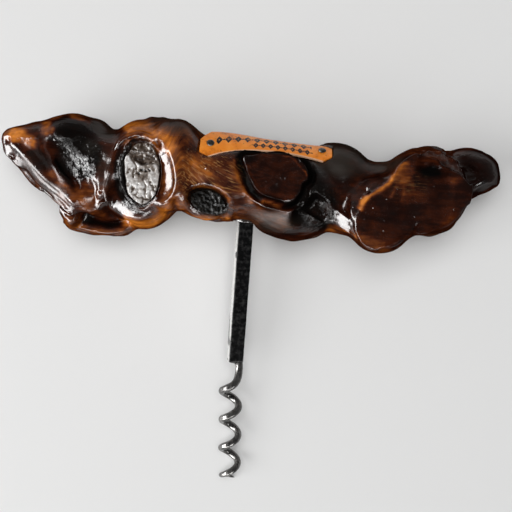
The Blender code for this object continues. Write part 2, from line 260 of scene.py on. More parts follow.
class Neighbours:
    """Averages over each vertex's neighbours along the mesh's edges."""

    def __init__(self, mesh):
        pairs = np.empty(len(mesh.edges) * 2, np.int64)
        mesh.edges.foreach_get("vertices", pairs)
        self.a, self.b = pairs[0::2], pairs[1::2]
        self.count = len(mesh.vertices)
        self.valence = np.bincount(pairs, minlength=self.count)

    def mean(self, points):
        ends = (self.a, self.b), (self.b, self.a)
        sums = [sum(np.bincount(at, axis[other], self.count) for at, other in ends) for axis in points.T]
        return np.stack(sums, axis=1) / self.valence[:, None]


def smoothed(points, near, rounds, pull):
    """Draws every point towards its neighbours' mean; pull is 0 where a vertex has to stay."""
    pull = np.broadcast_to(pull, len(points))[:, None]
    for _ in range(rounds):
        points = points + pull * (near.mean(points) - points)
    return points


def fine_copy(node, voxel, rounds=0, pull=0.5):
    """A node remeshed at the voxel size and smoothed: the mesh, its points and their neighbours."""
    mesh = remeshed(node, voxel)
    near = Neighbours(mesh)
    return mesh, smoothed(points_of(mesh), near, rounds, pull), near


def distance_to_nodes(points, nodes, reach):
    """Distance from each point to the nearest of some CAD nodes, or reach where that is further."""
    found = np.full(len(points), float(reach))
    for node in nodes:
        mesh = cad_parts[node].data
        faces = [list(face.vertices) for face in mesh.polygons]
        tree = BVHTree.FromPolygons([vertex.co / MM for vertex in mesh.vertices], faces)
        low, high = (np.array(corner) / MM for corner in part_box(node))
        close = np.all((points > low - reach) & (points < high + reach), axis=1)
        for i in np.flatnonzero(close):
            hit = tree.find_nearest(Vector(points[i]), found[i])
            if hit[0] is not None:
                found[i] = hit[3]
    return found


# --- the handle's shape ---
HANDLE_VOXEL = 0.5
BIG_KNOT = ((-39.7, -0.9), (8.1, 13.2), 4)  # centre, radii and turn of the hole, as seen
SMALL_KNOT = ((-14.4, -9.7), (7.6, 4.8), -16)  # and so for the next ones
KNOT_POCKET = ((-47.6, -8.0), (3.0, 4.6), 10)
BARK_HOLLOW = ((-61.5, 3.0), (9.5, 8.5), -20)
BARK_POCKET = ((25.5, -9.0), (8.0, 9.0), -25)
POCKET_CAVITY = ((19.2, -11.8), (3.2, 5.2), -25)
SAWN_STUB = ((9, 1), (10.5, 9), 0)
PUCKERED = ((-55, -5), (9, 9))
KNOT_NODULE = (-50.4, -1.5)
LEFT_PITS = ((-86.7, 1.2), (-88.2, 6.8))
STUB_KNOBS = ((9.5, -0.9), (11.2, 1.2))
SHOULDER_PIT = (42.3, -1.2)

# Crest lines, edges and creases, as seen.
RIDGE = [(-89, 7.6), (-84.7, 5), (-80.5, 1.1), (-74.4, -4.8), (-66.7, -10.6), (-61, -16)]
INNER_CREASE = [(-71, 2.8), (-66.7, -1.8), (-64.1, -5.5), (-61.6, -9.8)]
RIDGE_FOOT = [(-68, -9.9), (-61.5, -15.8), (-58, -19.3)]
LIP_GAP = [(-63.5, -16.8), (-55.8, -19.4), (-51.2, -20.5), (-46.7, -20.7), (-40, -19.6)]
LIP = [(-66.5, -19), (-61.5, -21.3), (-56, -22.8), (-49, -23.4), (-42, -21.6)]
WRINKLES = [
    [(-56.2, 4), (-55.9, -1.9), (-56.2, -6)],
    [(-53.9, 3), (-53.9, -4.8), (-53.7, -9), (-53.2, -12.5)],
    [(-51.4, -6.5), (-50.9, -9.5), (-50.0, -13)],
]
KNOT_RIM = [(-30, 7.6), (-27.2, 2), (-25.6, -4), (-27, -9), (-33, -14.8), (-38.5, -16.6), (-45.5, -15.6)]
KNOT_RIM += [(-51.2, -10), (-50.6, -2), (-49.6, 4.5), (-46.8, 10), (-41, 12.6), (-35, 11.4), (-30, 7.6)]
KNOT_WEDGE = [(-26.8, -8.5), (-26.3, -11), (-25.2, -17)]
KNOT_WALL = [(-31.0, 9.2), (-29, 5), (-27.6, 0), (-27.2, -4.5), (-28.8, -9.5), (-32.5, -14)]
HEM = [(-62, -13.6), (-56, -12.6), (-50.5, -12.2)]
LONG_WRINKLE = [(-53.2, -8.2), (-52.8, -12), (-52.0, -15.8)]
KNOT_TOP = [(-49.6, 6.5), (-46.5, 11.0), (-41, 13.3), (-35.4, 11.8), (-32, 8.8)]
STUB_EDGE = [(-3, 7.5), (4, 9.4), (14, 9.4), (19.5, 6), (21, 1.5), (19, -0.5), (18, -4.5), (13.8, -7.8)]
STUB_EDGE += [(3.4, -5.5), (-1.8, 2.5), (-3, 7.5)]
STUB_CUT = ((9.4, -0.6, 40.4), (0.16, -0.05, 1))  # a point of the saw cut, and the way it faces
STUB_CREASE = [(-4.4, 6.5), (-2.4, 1.8), (1.8, -4.9), (5, -6.7), (13.5, -8.4)]
STUB_WEDGE = [(3.5, -8.4), (8.5, -8.6), (13.5, -9.2)]
LOBE_EDGE = [(39.6, -17), (39.1, -13.7), (41.9, -6.3), (44.6, -2.8), (50.7, 2.6), (53.2, 8.7), (59.8, 13.8)]
LOBE_OUTLINE = [*LOBE_EDGE, (64, 12), (68.6, 9.9), (76.1, 6.8), (80, 2.2), (80.2, -1.5), (77, -6)]
LOBE_OUTLINE += [(70, -12.4), (63.3, -16), (60.4, -15.6), (55.9, -17.7), (47.5, -22.6), (42, -21.4)]
LOBE_OUTLINE += [LOBE_EDGE[0]]
LOBE_CUT = ((58, -5, 36.4), (0.10, -0.10, 1))
SHOULDER = [(23, -3.5), (29, -7), (35, -10.6), (40.5, -14.4), (44.5, -17.5)]
LOBE_HOLLOW = [(59, 9.0), (63, 8.2), (68, 7.2), (72.5, 6.6)]
LOBE_BROOK = [(60.4, 9.8), (63.9, 11.6), (66.8, 12.2), (68.6, 9.9), (73.3, 7.9), (76.1, 6.8), (80, 2.2)]
LOBE_NOTCH = [(60.4, -19), (60.6, -15), (61.8, -11)]
SCRATCHES = [[(-29.1, 12), (-28.3, 7), (-28.2, 3)], [(-22.4, -1), (-23, -5)], [(45.2, -8.6), (49.5, -8.9)]]

# Ramps that fall away to the right of a line:
# (line, its height at start and end, fall per mm, reach, soft far edge).
FLANKS = [
    (RIDGE, (25.6, 33.0), 0.64, 4.6, 1.5),
    (HEM, (31.0, 30.6), 0.5, 5.0, 1.5),
    (LONG_WRINKLE, (33.4, 30.4), 0.55, 1.4, 0.8),
    (RIDGE_FOOT, (31.4, 30.8), 0.62, 4.6, 1.5),
    (KNOT_WALL, (38.8, 37.0), 0.62, 5.8, 0.6),
    (KNOT_TOP, (35.2, 36.8), 0.64, 1.8, 0.8),
    (SHOULDER, (31.6, 38.0), 0.64, 5.6, 1.5),
]
# Where the outline is drawn outwards from the CAD's: (how far in x, how far in y, the place as for a spot).
PULLS = [
    (0.0, 1.75, 86.3, -1.8, 7.8, 7.8),
    (0.55, 0.0, 88, 14, 6, 5),
    (0.0, 1.0, -35, 18.5, 5, 7),
    (0.0, 0.9, -29, 18.5, 11, 7),
]


def crumbled(points, size, seed):
    """Sharp-edged crumbly noise, about -1 to 1, for bark and broken wood."""
    folded = 1 - 2 * np.abs(noise(points, size, seed))
    return 0.55 * folded + 0.6 * layered(points, np.asarray(size, float) * 0.6, 3, seed + 7)


def with_height(points, height):
    return np.stack([points[:, 0], points[:, 1], height], axis=1)


def sawn_face(points, uv, outline, cut, fall, reach):
    """Gives a saw cut its exact outline: on the cut's plane inside it, falling so much per mm outside it."""
    (x, y, z), (nx, ny, nz) = cut
    plane = z - (nx * (points[:, 0] - x) + ny * (points[:, 1] - y)) / nz
    outside = along_path(uv, outline)[0] + 0.15 * noise(points, 2.5, 42)
    height = points[:, 2]
    beyond = np.minimum(height, plane - fall * np.maximum(outside, 0))
    target = np.where(outside < 0, plane, beyond)
    weight = ease(reach, 0.5 * reach, outside) * ease(7.5, 5.5, np.abs(height - plane))
    return with_height(points, height + weight * (target - height))


def flank(points, uv, path, crest, drop, reach, soft):
    """Sets the surface right of a path to a ramp that falls from the path's height by drop per mm."""
    signed, share = along_path(uv, path)
    start, end = crest
    target = start + (end - start) * share - drop * np.maximum(-signed, 0)
    weight = ease(0.5, -0.4, signed) * ease(-reach - soft, -reach + 0.5, signed)
    weight *= ease(0, 0.12, share) * ease(1, 0.88, share)
    height = points[:, 2]
    return with_height(points, height + weight * (target - height))


def knot_relief(uv, points):
    """A raised rim, thicker at the lower left, and inside it a ledge with a deep pocket and a nodule."""
    outside, _ = along_path(uv, KNOT_RIM)
    outside = outside + 0.35 * noise(points, 4, 11)
    r, angle = oval(uv, *BIG_KNOT)
    right = ease(-0.1, 0.7, np.cos(angle + 0.12))
    lower_left = ease(0.35, 0.95, np.cos(angle - math.radians(238)))
    height = 0.65 - 0.45 * right + 0.9 * lower_left
    width = 0.85 + 0.6 * right + 1.0 * lower_left
    rim = height * np.exp(-((outside / width) ** 2))
    shelf = -1.0 * ease(0.4, -2.0, outside) * ease(0.2, 0.8, -np.cos(angle)) * ease(0.96, 1.0, r)
    broken = 0.30 * ease(1.2, 1.0, r) * noise(points, 1.6, 13)
    nodule = 1.1 * dot(uv, KNOT_NODULE, 1.5)
    pocket = -2.2 * ease(1.0, 0.3, oval(uv, *KNOT_POCKET)[0]) * ease(0.98, 1.04, r)
    return rim + shelf + broken + nodule + pocket


def small_knot_relief(uv, points):
    """A rim, thickest below, growth rings right of it, and the wedge-shaped fold on its left."""
    r, angle = oval(uv, *SMALL_KNOT)
    r = r + 0.05 * noise(points, 4, 12)
    rim = (0.50 - 0.35 * np.sin(angle)) * np.exp(-(((r - 1.25) / 0.15) ** 2))
    rings = 0.14 * ease(0.0, 0.8, np.cos(angle + 0.5)) * np.cos(2 * math.pi * r / 0.14)
    wedge = -1.2 * stroke(uv, KNOT_WEDGE, 1.3, 0.2)
    return rim + wedge + rings * ease(0.95, 1.05, r) * ease(1.5, 1.25, r)


def left_end_relief(uv, points):
    """The long ridge with drawn-out streaks, the bark hollow beside it, the wrinkles and the folded lip."""
    signed, share = along_path(uv, RIDGE)
    ends = ease(0, 0.06, share) * ease(1, 0.86, share)
    ridge = 0.5 * np.exp(-(((signed - 0.3) / 1.5) ** 2)) * ends
    wander = signed + 0.6 * noise(points, 7, 22)
    streaks = 0.13 * np.cos(2 * math.pi * wander / 1.7) * ease(0.5, -0.5, signed) * ease(-6, -4.5, signed)
    streaks *= ease(0.25, 0.5, share) * ends
    facet = -0.9 * np.clip(-signed - 2.7, 0, 3) * ease(0.27, 0.38, share) * ease(0.80, 0.70, share)
    crease = -2.3 * stroke(uv, INNER_CREASE, 1.3)
    r, _ = oval(uv, *BARK_HOLLOW)
    hollow = ease(1.15, 0.65, r + 0.15 * noise(points, 5, 23))
    bark = hollow * (-1.0 + 0.30 * crumbled(points, 3.6, 21) + 0.22 * crumbled(points, 1.5, 27))
    wrinkles = sum(1.1 * stroke(uv, path, 1.1, 0.3) for path in WRINKLES)
    r, _ = oval(uv, *PUCKERED)
    puckers = 0.35 * ease(1, 0, r) * crumbled(points, (1.6, 3.5, 3), 25)
    gap = -2.8 * stroke(uv, LIP_GAP, 1.2, 0.15)
    lip_signed, lip_share = along_path(uv, LIP)
    lip_wander = lip_signed + 0.4 * noise(points, 6, 24)
    lip = 0.7 * np.exp(-((lip_signed / 1.5) ** 2))
    lip += 0.22 * np.cos(2 * math.pi * lip_wander / 1.3) * ease(3.2, 2.2, np.abs(lip_signed))
    lip *= ease(0, 0.08, lip_share) * ease(1, 0.85, lip_share)
    pits = -1.3 * sum(dot(uv, place, 0.9) for place in LEFT_PITS)
    return ridge + streaks + facet + crease + bark + wrinkles + puckers + gap + lip + pits


def pocket_mask(uv, points):
    """The bark pocket between the sawn stub and the right lobe, running up the lobe's left flank."""
    r, _ = oval(uv, *BARK_POCKET)
    return ease(1.15, 0.75, r + 0.15 * noise(points, 4, 31))


def middle_relief(uv, points):
    """The sawn stub's face and the crease round it, the bark pocket with its cavity, a pit and scratches."""
    inner = inside(uv, STUB_EDGE)
    face = 0.09 * inner * crumbled(points, (5, 1.2, 5), 43)
    knobs = 0.7 * sum(dot(uv, place, 0.7) for place in STUB_KNOBS)
    crease = -1.6 * stroke(uv, STUB_CREASE, 0.9, 0.1)
    wedge = 0.9 * stroke(uv, STUB_WEDGE, 1.0, 0.2)
    bark = -0.6 + 0.24 * crumbled(points, 3.4, 41) + 0.22 * crumbled(points, 1.5, 47)
    bark *= pocket_mask(uv, points)
    cavity = -3.0 * ease(1.1, 0.4, oval(uv, *POCKET_CAVITY)[0])
    pit = -1.2 * dot(uv, SHOULDER_PIT, 1.1)
    scratches = sum(-0.22 * stroke(uv, path, 0.35, 0.2) for path in SCRATCHES)
    return face + knobs + (crease + wedge + bark + cavity) * (1 - inner) + pit + scratches


def lobe_relief(uv, points):
    """The right lobe: a bead on its edge, a hollow under a crevice, and the notch between its two parts."""
    edge = 0.30 * stroke(uv, LOBE_EDGE, 0.6, 0.1)
    above, share = along_path(uv, LOBE_BROOK)
    ends = ease(0, 0.08, share) * ease(1, 0.92, share)
    step = -1.3 * ease(0.1, 1.1, above) * ease(7, 4, above) * ends
    knobs = 0.8 * ease(0.8, 2.0, above) * ease(6, 4, above) * crumbled(points, 3.2, 62) * ends
    hollow = -1.3 * stroke(uv, LOBE_HOLLOW, 2.4, 0.3)
    notch = -0.8 * stroke(uv, LOBE_NOTCH, 0.9, 0.3)
    rays = 0.07 * layered(points @ turn_z(35), (5, 1.4, 5), 2, 61)
    return edge + step + knobs + hollow + notch + rays


def turn_z(deg):
    a = math.radians(deg)
    return np.array([[math.cos(a), -math.sin(a), 0], [math.sin(a), math.cos(a), 0], [0, 0, 1.0]])


def hidden_side_relief(points):
    """The sides and back, which are a guess in the same manner: soft buds, long furrows and a few creases."""
    furrow = layered(points, (26, 7, 7), 2, 71)
    buds = np.maximum(layered(points, 11, 2, 72), 0) ** 2
    return 1.3 * buds - 0.8 * np.exp(-((furrow / 0.09) ** 2)) + 0.4 * furrow


def grain_points(points, uv):
    """Coordinates that run with the wood: x along the fibres, y and z across them, bent round the knots."""
    bend = np.zeros(len(points))
    for centre, radii, turn in (BIG_KNOT, SMALL_KNOT, SAWN_STUB):
        r, angle = oval(uv, centre, radii, turn)
        bend += 7.0 * np.sin(angle) * np.exp(-r / 1.6)
    slant = points @ turn_z(-28)
    middle = ease(-32, -24, uv[:, 0]) * ease(8, -2, uv[:, 0])
    mixed = points + (slant - points) * middle[:, None]
    return mixed + bend[:, None] * (0, 1, 0)


def flat_mask(mesh, points):
    """1 on the saw cuts, where the CAD's faces are plane, so that smoothing leaves their edges alone."""
    normals = normals_at(mesh, points)
    uv = seen(points)
    cut_ends = (uv[:, 0] > 33) | ((uv[:, 0] > -6) & (uv[:, 0] < 23))
    upper = (normals[:, 2] > 0.97) & (points[:, 2] > 34) & cut_ends
    under = points[:, 2] < 0.05
    return (upper | under).astype(float)


def build_handle(surface):
    """The root: the CAD solid smoothed, formed to its edges, and given relief except beside other pieces."""
    mesh, points, near = fine_copy("vine_root_handle", HANDLE_VOXEL)
    others = [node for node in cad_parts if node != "vine_root_handle"]
    free = ease(0.7, 1.6, distance_to_nodes(points, others, 3.0))
    low, high = (np.array(corner) / MM for corner in CAD_BOX)
    points = smoothed(points, near, 24, 0.5 * free * (1 - flat_mask(mesh, points)))
    uv = seen(points)
    for dx, dy, *place in PULLS:
        points[:, :2] += (free * spot(uv, *place))[:, None] * (dx, dy)

    above = ease(-0.2, 0.2, normals_at(mesh, points)[:, 2])
    uv = seen(points)
    formed = points
    for ramp in FLANKS:
        formed = flank(formed, uv, *ramp)
    formed = sawn_face(formed, uv, STUB_EDGE, STUB_CUT, 2.4, 3.2)
    fall = 0.9 - 0.26 * ease(-4, -8, uv[:, 1])
    formed = sawn_face(formed, uv, LOBE_OUTLINE, LOBE_CUT, fall, 9.0)
    points = points + (above * free)[:, None] * (formed - points)
    points = smoothed(points, near, 2, 0.3 * free)
    beside = along_path(uv, LOBE_OUTLINE)[0]
    beside = ease(0.6, 1.8, beside) * ease(11, 8, beside)
    beside *= ease(-9, -6, uv[:, 1]) * (uv[:, 0] < 66)
    hem = np.clip(spot(uv, -51.5, -17.4, 6, 3.4, -15) + 1.8 * spot(uv, -58, -15.5, 8, 5.5, -10), 0, 1)
    points = smoothed(points, near, 24, 0.5 * free * np.maximum(beside, hem))

    normals = normals_at(mesh, points)
    front = ease(-0.05, 0.30, normals[:, 2])
    right_end = ease(37, 39, uv[:, 0])
    relief = front * (
        knot_relief(uv, points)
        + small_knot_relief(uv, points)
        + left_end_relief(uv, points)
        + middle_relief(uv, points)
        + lobe_relief(uv, points) * right_end
    )
    relief += (1 - front) * hidden_side_relief(points)
    points = points + normals * (relief * free)[:, None]
    points = smoothed(points, near, 2, 0.4 * free)

    grain = grain_points(points, uv)
    fibres = 0.045 * layered(grain, (7, 1.0, 1.0), 2, 81) * (1 - 0.75 * right_end)
    points = points + normals_at(mesh, points) * (fibres * free)[:, None]
    points = np.clip(points, [low[0] + 0.05, -99, 0], [high[0] - 0.05, 99, high[2] + 0.3])
    set_points(mesh, points)
    paint_handle(mesh, points, seen(points), front, grain)
    show("vine_root", mesh, surface, "vine_root_handle")


# --- the handle's colouring ---
# Patches of the upper side, laid on in this order: (the tone it takes, its centre, radii and turn). Some are
# painted shadow under the copper strip and painted shade in a hollow.
PATCHES = [
    (0.50, -20, -1, 26, 15, 0),
    (0.60, -20, 3, 9, 6, -20),
    (0.34, -4, -2, 9, 10, 0),
    (0.34, -18, -6, 9, 3, -15),
    (0.02, -66, 11.5, 13, 8, 10),
    (0.10, -77, 2.5, 9, 4.5, -42),
    (0.38, -68.5, -6, 8, 2.6, -45),
    (0.05, -61, 3, 10, 9, -20),
    (0.56, -58, -11.5, 7, 7, 0),
    (0.36, -53, -3, 4, 9, 5),
    (0.44, -53, -17.8, 6, 2.4, -8),
    (0.40, -78.2, -7.2, 5.5, 2.4, -42),
    (0.03, -72.6, -11.6, 3.6, 2.2, -40),
    (0.88, -85.5, 9.2, 5.5, 3.4, 5),
    (0.68, -80.8, 7.2, 4.5, 3.4, -20),
    (0.58, -74.2, 12.5, 3.2, 4.5, -5),
    (0.50, -27, 14, 12, 5, 0),
    (0.28, -34, 19.5, 12, 3.6, -6),
    (0.50, 1, -13, 12, 5, -5),
    (0.56, 12.3, -16.2, 5, 3, 10),
    # painted shadow under the copper strip's right end
    (0.04, 24, 1, 5.5, 10, 5),
    (0.16, 32, 5, 9, 9, 0),
    (0.00, 19.2, -11.5, 5.0, 7.0, -25),
    (0.24, 9, 1, 12, 10, 0),
    # painted shadow under the copper strip's left part, beside the saw cut
    (0.05, -0.5, 6.5, 3.5, 3.2, 0),
    (0.20, 57, -3, 26, 15, 22),
    (0.50, 45.5, -19.8, 9, 3.4, -22),
    (0.54, 55.5, 5.0, 3.8, 6.0, -30),
    (0.30, 58.5, -1.5, 7, 5, -20),
    (0.48, 74.5, 5.0, 4.0, 2.6, 0),
    (0.34, 60, 14.5, 6, 3, 25),
    # painted shade in the hollow under the lobe's crevice
    (0.00, 65, 7.2, 7.5, 3.0, -4),
    (0.12, 82, 8, 12, 10, 0),
]

# Lines of colour: (the tone it takes, its half width, the path). The black ones are painted shade in creases
# and a gap; one is a painted highlight.
LINES = [
    (0.52, 1.1, [(-74, 16.4), (-66, 17.8), (-58, 15)]),
    # painted shade along the crease beside the bark hollow
    (0.00, 1.7, [(-71, 1.5), (-67.3, -3.0), (-63.2, -9)]),
    (0.55, 1.8, [(-72, -3), (-66.5, -7.8), (-62, -12.5)]),
    (0.62, 2.2, LIP),
    # painted shade in the gap above the lower lip
    (0.00, 1.5, [(-60, -18.2), *LIP_GAP[1:]]),
    (0.84, 3.0, [(-47.5, 13.6), (-43, 15), (-39, 14.7), (-32, 12), (-27.6, 6.5)]),
    (0.92, 2.8, [(-46, -18.6), (-37, -19.6), (-29, -14.5), (-24.6, -7.5)]),
    (0.42, 1.3, [(-26.4, -9), *KNOT_WEDGE[1:]]),
    (0.56, 1.3, [(-25.0, -8), (-24.0, -11), (-23, -14)]),
    (0.90, 2.0, [(-24, -15.4), (-19.5, -16.4), (-12, -16.8), (-5, -15)]),
    (0.66, 0.8, [(-21, -6), (-14, -4.2), (-8.3, -6), (-6, -11)]),
    (0.66, 1.9, [(-6.3, 7), (-4.3, 1), (-0.5, -5), (2.5, -8.5)]),
    # painted shade in the crease round the saw cut
    (0.00, 1.0, STUB_CREASE),
    (0.66, 1.0, [(3.8, -8.5), (8.5, -8.7), (13.2, -9.3)]),
    (0.70, 2.3, [(28, -15.4), (34, -18), (40.5, -20)]),
    (0.80, 0.9, [(40.6, -7.2), (43.4, -3.4), (49.6, 1.2), (53.2, 6.6), (57.5, 11)]),
    (0.95, 1.3, [(39.8, -8.5), (41.4, -5), (43.2, -3.2)]),
    (0.40, 0.6, [(54, 4), (50.8, -3.5)]),
    (0.40, 0.6, [(56, 3), (55, -5)]),
    (0.36, 0.6, [(58, 3.5), (60, -4.5)]),
    # painted highlight along the saw cut's upper right edge
    (0.50, 0.35, [(10, 9.2), (15, 8.2), (19.3, 4.6), (20.6, 1)]),
]

# Where the varnish is dull: along lines (half width, path), and in spots (how dull, the place as for a spot).
DULL_LINES = [
    (1.5, INNER_CREASE),
    (1.1, LIP_GAP[1:]),
    (3.6, LOBE_HOLLOW),
    (2.2, [(59, 10.8), (68, 9.8)]),
    (1.0, LOBE_NOTCH),
    (2.2, [(35, 0), (38, 2.5), (43, 3.6), (49, 3.6)]),
    (2.2, [(27, -14.8), (32, -17.0), (38, -19.4)]),
    (1.5, [(33.6, -3), (33, -9)]),
    (1.2, [(-35.5, 10.8), (-32.6, 7.6)]),
    (1.3, [(-24, -7.4), (-19, -5.4), (-13, -5.6), (-8, -8.5)]),
    (2.0, [(-3, 7.5), (-1.8, 2.5), (3.4, -5.5), (13.8, -7.8)]),
    (2.2, [(-48.2, -3.5), (-47.2, -8), (-44.5, -12.2)]),
    (1.2, [(47.5, -22.6), (55.9, -17.9), (60.4, -15.8), (63.3, -16), (70, -12.4), (77, -6)]),
]
DULL_SPOTS = [
    (1.2, -75, 4, 10.5, 6.5, -42),
    (0.6, -65, 12, 12, 7, 10),
    (0.9, -4.5, -7, 6, 5, -30),
    (0.8, -60.5, -9, 5, 4),
    (1.8, -51.5, -17.6, 7, 3.4),
    (1.0, 18, -14, 5, 5),
    (1.0, -27, -10.5, 3, 2.5),
    (1.4, -71.6, -4.6, 5.5, 3, -48),
    (0.5, -67, 4, 6, 8, -30),
    (0.7, -59.5, -15, 6, 4),
]
# Where the sheen is soft rather than glassy, and where a grey-brown painted sheen is mixed into the wood's
# colour.
SATIN_AND_SHEEN_SPOTS = [
    (1.0, 33, 9, 14, 9),
    (1.0, 8, -15, 13, 6),
    (1.0, 49, 9, 8, 4, 20),
    (0.8, -29, 17, 16, 5, -6),
    (0.8, -54, 14, 7, 5, -40),
    (0.45, -52.5, -2, 4, 10, 5),
    (0.4, -58, 7, 4, 4),
]
# Where golden hairlines show.
FIBRE_SPOTS = [(1.0, -16, -1, 16, 13), (0.8, 12.3, -16.2, 5, 3), (0.2, 57, 2, 9, 7)]


def spots(uv, places):
    return sum(strength * spot(uv, *place) for strength, *place in places)


def paint_handle(mesh, points, uv, front, grain):
    """Stores tone (0 black-brown to 1 amber, with painted shade and shadow in creases, gaps and hollows and
    one painted highlight), bark (which also blackens the knot holes' walls and a crevice as painted shade),
    dull, satin (soft varnish with a grey-brown painted sheen) and fibre, 0 to 1, and the grain.
    """
    ragged = uv + np.stack([noise(points, 3.5, 102), noise(points, 3.5, 103)], axis=1) * 0.9
    tone = 0.30 + 0.10 * layered(points, 13, 3, 101)
    for target, *place in PATCHES:
        tone += (target - tone) * spot(ragged, *place) * front
    for target, width, path in LINES:
        tone += (target - tone) * stroke(ragged, path, width, 0.1) * front
    big, angle = oval(uv, *BIG_KNOT)
    small, _ = oval(uv, *SMALL_KNOT)
    left = ease(-0.3, -0.8, np.cos(angle + 0.15))
    crust = ease(0.4, 0.9, np.sin(angle)) * (0.5 + 0.5 * crumbled(points, 1.8, 104))
    # The big knot's hole wall: painted shade, dark deep in the crevice, lighter towards the right and crusty
    # at the top.
    wall = ease(1.10 + 0.13 * left, 1.03 + 0.06 * left, big) * front
    tone += (0.14 + 0.30 * ease(-0.3, 0.3, np.cos(angle + 0.3)) + 0.5 * crust - tone) * wall

    r, _ = oval(ragged, *BARK_HOLLOW)
    # The knot holes' walls and the crevice left of the big knot join the bark mask, which the shader
    # blackens: crust, and painted shade deep in the holes.
    holes = np.maximum(ease(1.0, 0.94, big), ease(1.06, 0.96, small))
    left_crevice_shade = ease(1.2, 1.05, big) * ease(0.3, 0.8, np.cos(angle - math.radians(212)))
    bark = np.maximum.reduce([ease(1.1, 0.7, r), pocket_mask(uv, points), holes, left_crevice_shade])
    beside = along_path(uv, STUB_EDGE)[0]
    # Painted shade in the groove round the saw cut: the tone darkens there, except at the wedge below, and
    # the varnish is dulled.
    stub_groove_shade = ease(-0.7, 0.2, beside) * ease(3.2, 1.6, beside) * front
    tone *= 1 - stub_groove_shade * (1 - spot(uv, 8, -9, 7, 3.5))
    dull = stub_groove_shade + sum(stroke(uv, path, width, 0.1) for width, path in DULL_LINES) + spots(uv, DULL_SPOTS)
    dull += 0.3 * stroke(uv, [(-86, 0), (-80, -6), (-74, -11)], 4, 0.1)
    # Soft varnish, which the wood's shader also tints with a grey-brown painted sheen.
    satin_and_sheen = spots(uv, SATIN_AND_SHEEN_SPOTS) + 0.45 * stroke(uv, [(-84, 1), (-74.5, -7.5), (-65, -15)], 5, 0.1)
    fibre = spots(uv, FIBRE_SPOTS)
    fibre = fibre * front + 0.2 * (1 - front)
    looks = {"tone": tone, "bark": bark * front, "satin_and_sheen": satin_and_sheen * front, "dull": dull, "fibre": fibre}
    for name, values in looks.items():
        set_attribute(mesh, name, np.clip(values, 0, 1))
    set_attribute(mesh, "grain", grain * MM)


# --- the dead wood in the knots ---
CORE = [(-46, 6.6), (-43.4, 4.9), (-39.6, 1.9), (-36, 2.8), (-33.1, 2.5), (-31.7, -2.3), (-32.6, -8.3)]
CORE += [(-36, -12.6), (-40, -12.6), (-42.8, -10), (-44.2, -6.5), (-45.4, 0), (-46, 6.6)]
PITH = (-38.8, -1.5)
CRACKS = [
    [(-38.6, -3.2), (-37.2, -6), (-37.6, -9)],
    [(-40.4, -0.6), (-42.4, 2.0), (-44.6, 5.5)],
    [(-36.4, -4.6), (-34.2, -6.4), (-33.2, -9.0)],
    [(-42.0, -8.8), (-38.6, -10.4), (-34.2, -10.0)],
]


def build_dead_branch(surface):
    """The big knot's stub: a cracked grey heart, dark broken wood above it, and crevices left and below, sunk
    and painted black as shade.
    """
    mesh, points, near = fine_copy("dead_branch_stub", 0.22, 6)
    uv = seen(points)
    top = ease(33.2, 35.4, points[:, 2])
    heart = inside(uv + 0.4 * noise(points, 2.2, 201)[:, None], CORE, 0.45)
    upper = ease(1.5, 3.0, uv[:, 1] + 0.25 * (uv[:, 0] + 38)) * ease(-47, -45, uv[:, 0]) * (1 - heart)
    crevice = (1 - heart) * (1 - upper)
    away = np.hypot(uv[:, 0] - PITH[0], (uv[:, 1] - PITH[1]) * 0.75)
    rings = 0.05 * np.cos(2 * math.pi * (away + 0.5 * noise(points, 2.5, 202)) / 1.25) * ease(1.0, 2.0, away)
    ragged = uv + 0.7 * np.stack([noise(points, 1.3, 203), noise(points, 1.3, 208)], axis=1)
    cracks = sum(stroke(ragged, path, 0.26, 0.2) for path in CRACKS)
    cracks = np.maximum(cracks, 0.8 * ease(0.40, 0.80, layered(points, (0.8, 1.3, 1.3), 3, 219)))
    relief = heart * (0.35 + rings + 0.3 * crumbled(points, 1.5, 204) - 0.9 * cracks)
    relief += upper * (-1.3 + 0.8 * crumbled(points, 2.0, 205)) - 2.8 * crevice
    points[:, 2] += np.minimum(relief, 0.9) * top
    points = smoothed(points, near, 1, 0.4)
    set_points(mesh, points)
    # Outside the heart and the upper wood the shade stays 0: the crevices are painted black as shade.
    shade = heart * (0.78 + 0.14 * crumbled(points, 0.9, 206) + 0.12 * noise(points, 3, 210) - 0.50 * cracks)
    shade -= heart * (0.42 * np.exp(-(((away - 1.3) / 0.8) ** 2)) + 0.35 * spot(ragged, -36.2, 1.0, 2.6, 1.9))
    shade += upper * (0.24 + 0.22 * crumbled(points, 1.8, 207))
    set_attribute(mesh, "shade", np.clip(shade * top, 0, 1))
    show("dead_branch", mesh, surface, "dead_branch_stub")


def build_small_knot(surface):
    """The small knot's charred filling, which only glints towards its right end (attribute shine)."""
    mesh, points, near = fine_copy("small_dead_knot", 0.22, 6)
    top = ease(32.5, 34.4, points[:, 2])
    points[:, 2] += (-0.9 + 0.5 * crumbled(points, 1.3, 211)) * top
    points = smoothed(points, near, 1, 0.4)
    set_points(mesh, points)
    set_attribute(mesh, "shine", ease(-16, -9, seen(points)[:, 0]))
    show("charred_knot", mesh, surface, "small_dead_knot")


# --- the metal ---
WORM_TOP = -69.0  # y where the square bar ends and the wire begins
BAR_X, BAR_HEIGHT = -0.6, 20.2  # where the bar's axis enters the wood


